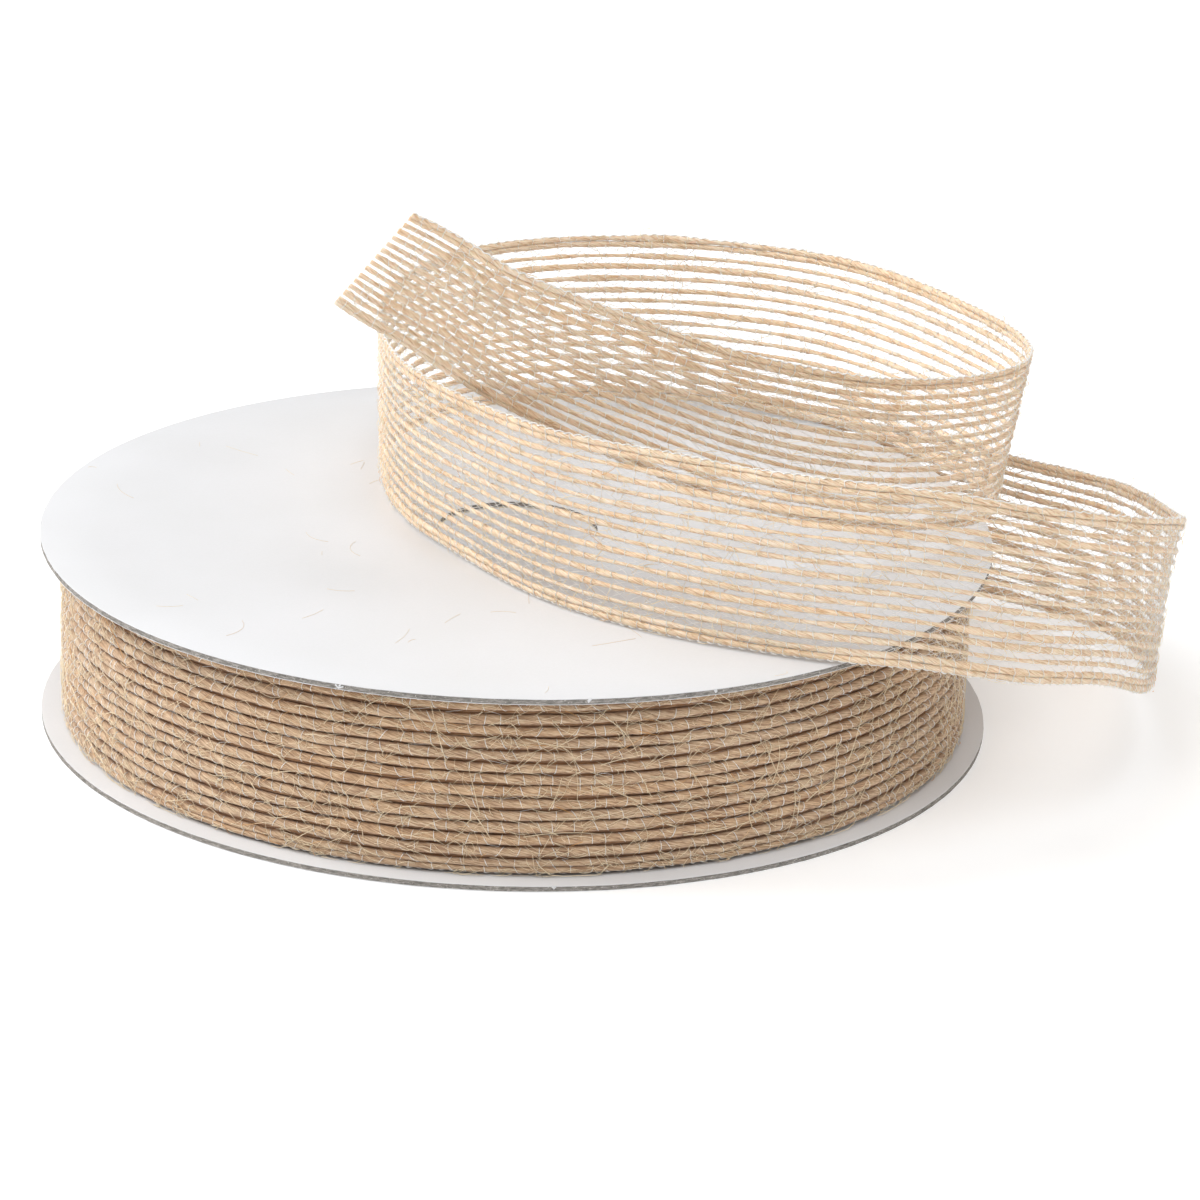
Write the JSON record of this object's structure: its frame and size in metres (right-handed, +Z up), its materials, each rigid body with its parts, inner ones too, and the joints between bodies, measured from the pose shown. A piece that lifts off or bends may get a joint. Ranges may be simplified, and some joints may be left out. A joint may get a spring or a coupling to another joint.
{
  "type": "ribbon spool",
  "caption": "Flat paperboard ribbon spool wound with natural jute mesh ribbon, its loose end unwound into two loops standing on the top flange.",
  "frame": {"origin": "centre of the central bore at the bottom flange's resting face", "axes": "+Z up along the spool's axis, +X towards the side where the loose loops overhang the flange, -Y the front"},
  "size_m": [0.1612, 0.136, 0.0823],
  "materials": {
    "white_liner": "smooth coated white paper, soft satin",
    "grey_board": "raw grey chipboard, fibrous cut edge",
    "kraft_tube": "spiral-wound kraft paper",
    "glue": "dried hot-melt glue",
    "tape": "translucent adhesive tape",
    "jute": "natural twisted jute yarn, dry and hairy, tied with fine off-white thread"
  },
  "bodies": {
    "spool": {"bottom_liner_outer": "white_liner", "bottom_board": "grey_board", "bottom_liner_inner": "white_liner", "top_liner_inner": "white_liner", "top_board": "grey_board", "top_liner_outer": "white_liner", "bottom_glue_ring": "glue", "top_glue_ring": "glue", "core_inner_ply": "white_liner", "core_tube": "kraft_tube", "core_outer_wrap": "white_liner", "start_tape": "tape", "wound_layers": "jute", "roll_yarn_01": "jute", "roll_yarn_02": "jute", "roll_yarn_03": "jute", "roll_yarn_04": "jute", "roll_yarn_05": "jute", "roll_yarn_06": "jute", "roll_yarn_07": "jute", "roll_yarn_08": "jute", "roll_yarn_09": "jute", "roll_yarn_10": "jute", "roll_yarn_11": "jute", "roll_yarn_12": "jute", "roll_yarn_13": "jute", "roll_yarn_14": "jute", "roll_yarn_15": "jute", "roll_yarn_16": "jute"},
    "ribbon_tail": {"tail_lower_selvage": "jute", "tail_field": "jute", "tail_upper_selvage": "jute"}
  },
  "joints": [
    {"name": "tail_unwind", "type": "hinge", "parent": "spool", "child": "ribbon_tail", "pos_m": [0, 0, 0.0138], "axis": [0, 0, 1], "continuous": true}
  ]
}
